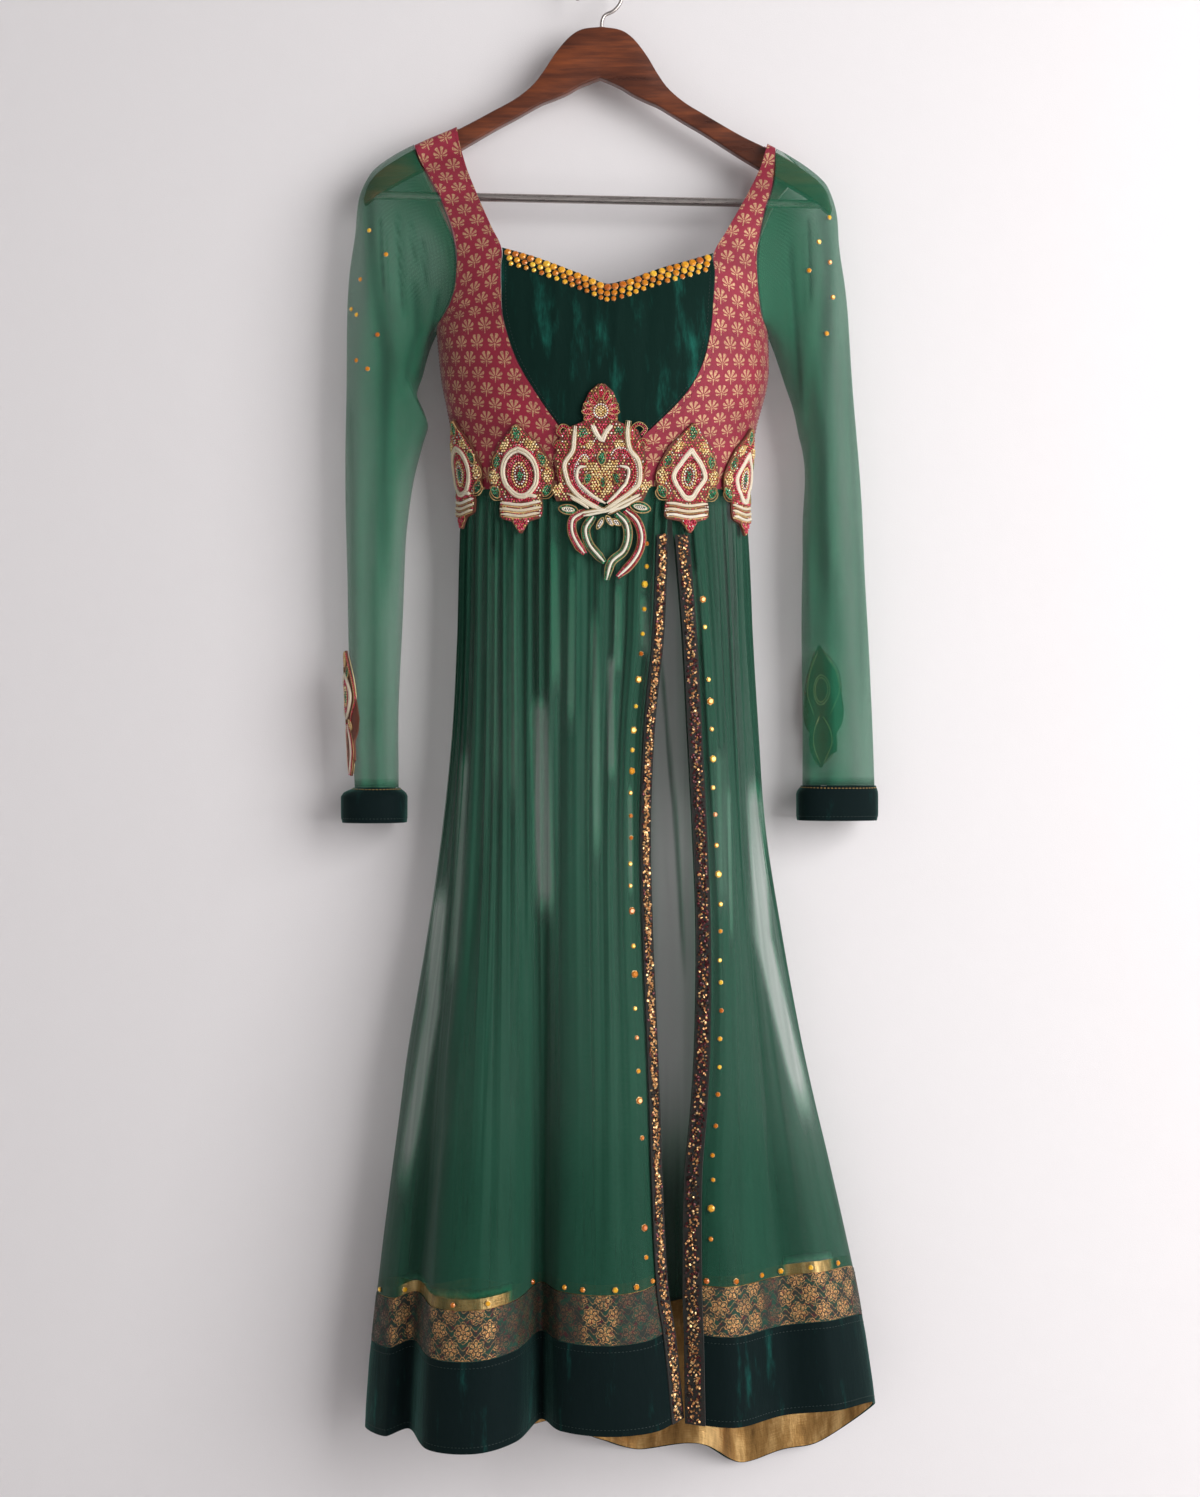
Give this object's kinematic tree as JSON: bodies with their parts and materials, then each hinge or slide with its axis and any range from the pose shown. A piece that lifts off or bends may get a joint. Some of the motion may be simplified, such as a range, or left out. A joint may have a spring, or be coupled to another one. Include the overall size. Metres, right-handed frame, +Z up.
{
  "type": "embroidered kurta on hanger",
  "caption": "Floor-length net kurta with velvet yoke, brocade side panels, sheer sleeves and a gathered skirt open down the front, hanging on a wooden hanger by its hook.",
  "frame": {"origin": "the inside top of the hanger's hook, where a rail carries it", "axes": "+Z up, -Y towards the viewer of the garment's front, +X to that viewer's right; the garment hangs flat along XZ"},
  "size_m": [0.511, 0.1575, 1.4332],
  "materials": {
    "wood": "varnished reddish brown, with grain along the arms",
    "steel": "bright wire and bar",
    "brocade": "crimson silk with small pale gold woven motifs",
    "velvet": "blackish green velvet with crush marks",
    "net": "fine green net, see-through in one layer",
    "hem_brocade": "gold, maroon and green woven flowers",
    "gold_cloth": "thin metallic gold cloth",
    "sequin_tape": "copper and maroon sequins between gold edges",
    "applique": "corded, beaded and stoned hand embroidery"
  },
  "bodies": {
    "root": {"hanger_wood": "wood", "hanger_bar": "steel", "hanger_hook": "steel", "bodice_front_left": "brocade", "bodice_front_right": "brocade", "bodice_back_left": "brocade", "bodice_back_right": "brocade", "yoke": "velvet", "cuff_left": "velvet", "cuff_right": "velvet", "hem_velvet_front_wide": "velvet", "hem_velvet_back": "velvet", "hem_velvet_front_narrow": "velvet", "sleeve_left": "net", "sleeve_right": "net", "skirt_front_wide": "net", "skirt_back": "net", "skirt_front_narrow": "net", "hem_brocade_front_wide": "hem_brocade", "hem_brocade_back": "hem_brocade", "hem_brocade_front_narrow": "hem_brocade", "hem_facing_back": "gold_cloth", "slit_tape_left": "sequin_tape", "slit_tape_right": "sequin_tape", "medallion_side_left": "applique", "medallion_left": "applique", "medallion_right": "applique", "medallion_side_right": "applique", "centre_applique": "applique", "centre_tail_left": "applique", "centre_tail_right": "applique", "wrist_motif_left": "applique", "wrist_motif_right": "applique"}
  },
  "joints": []
}
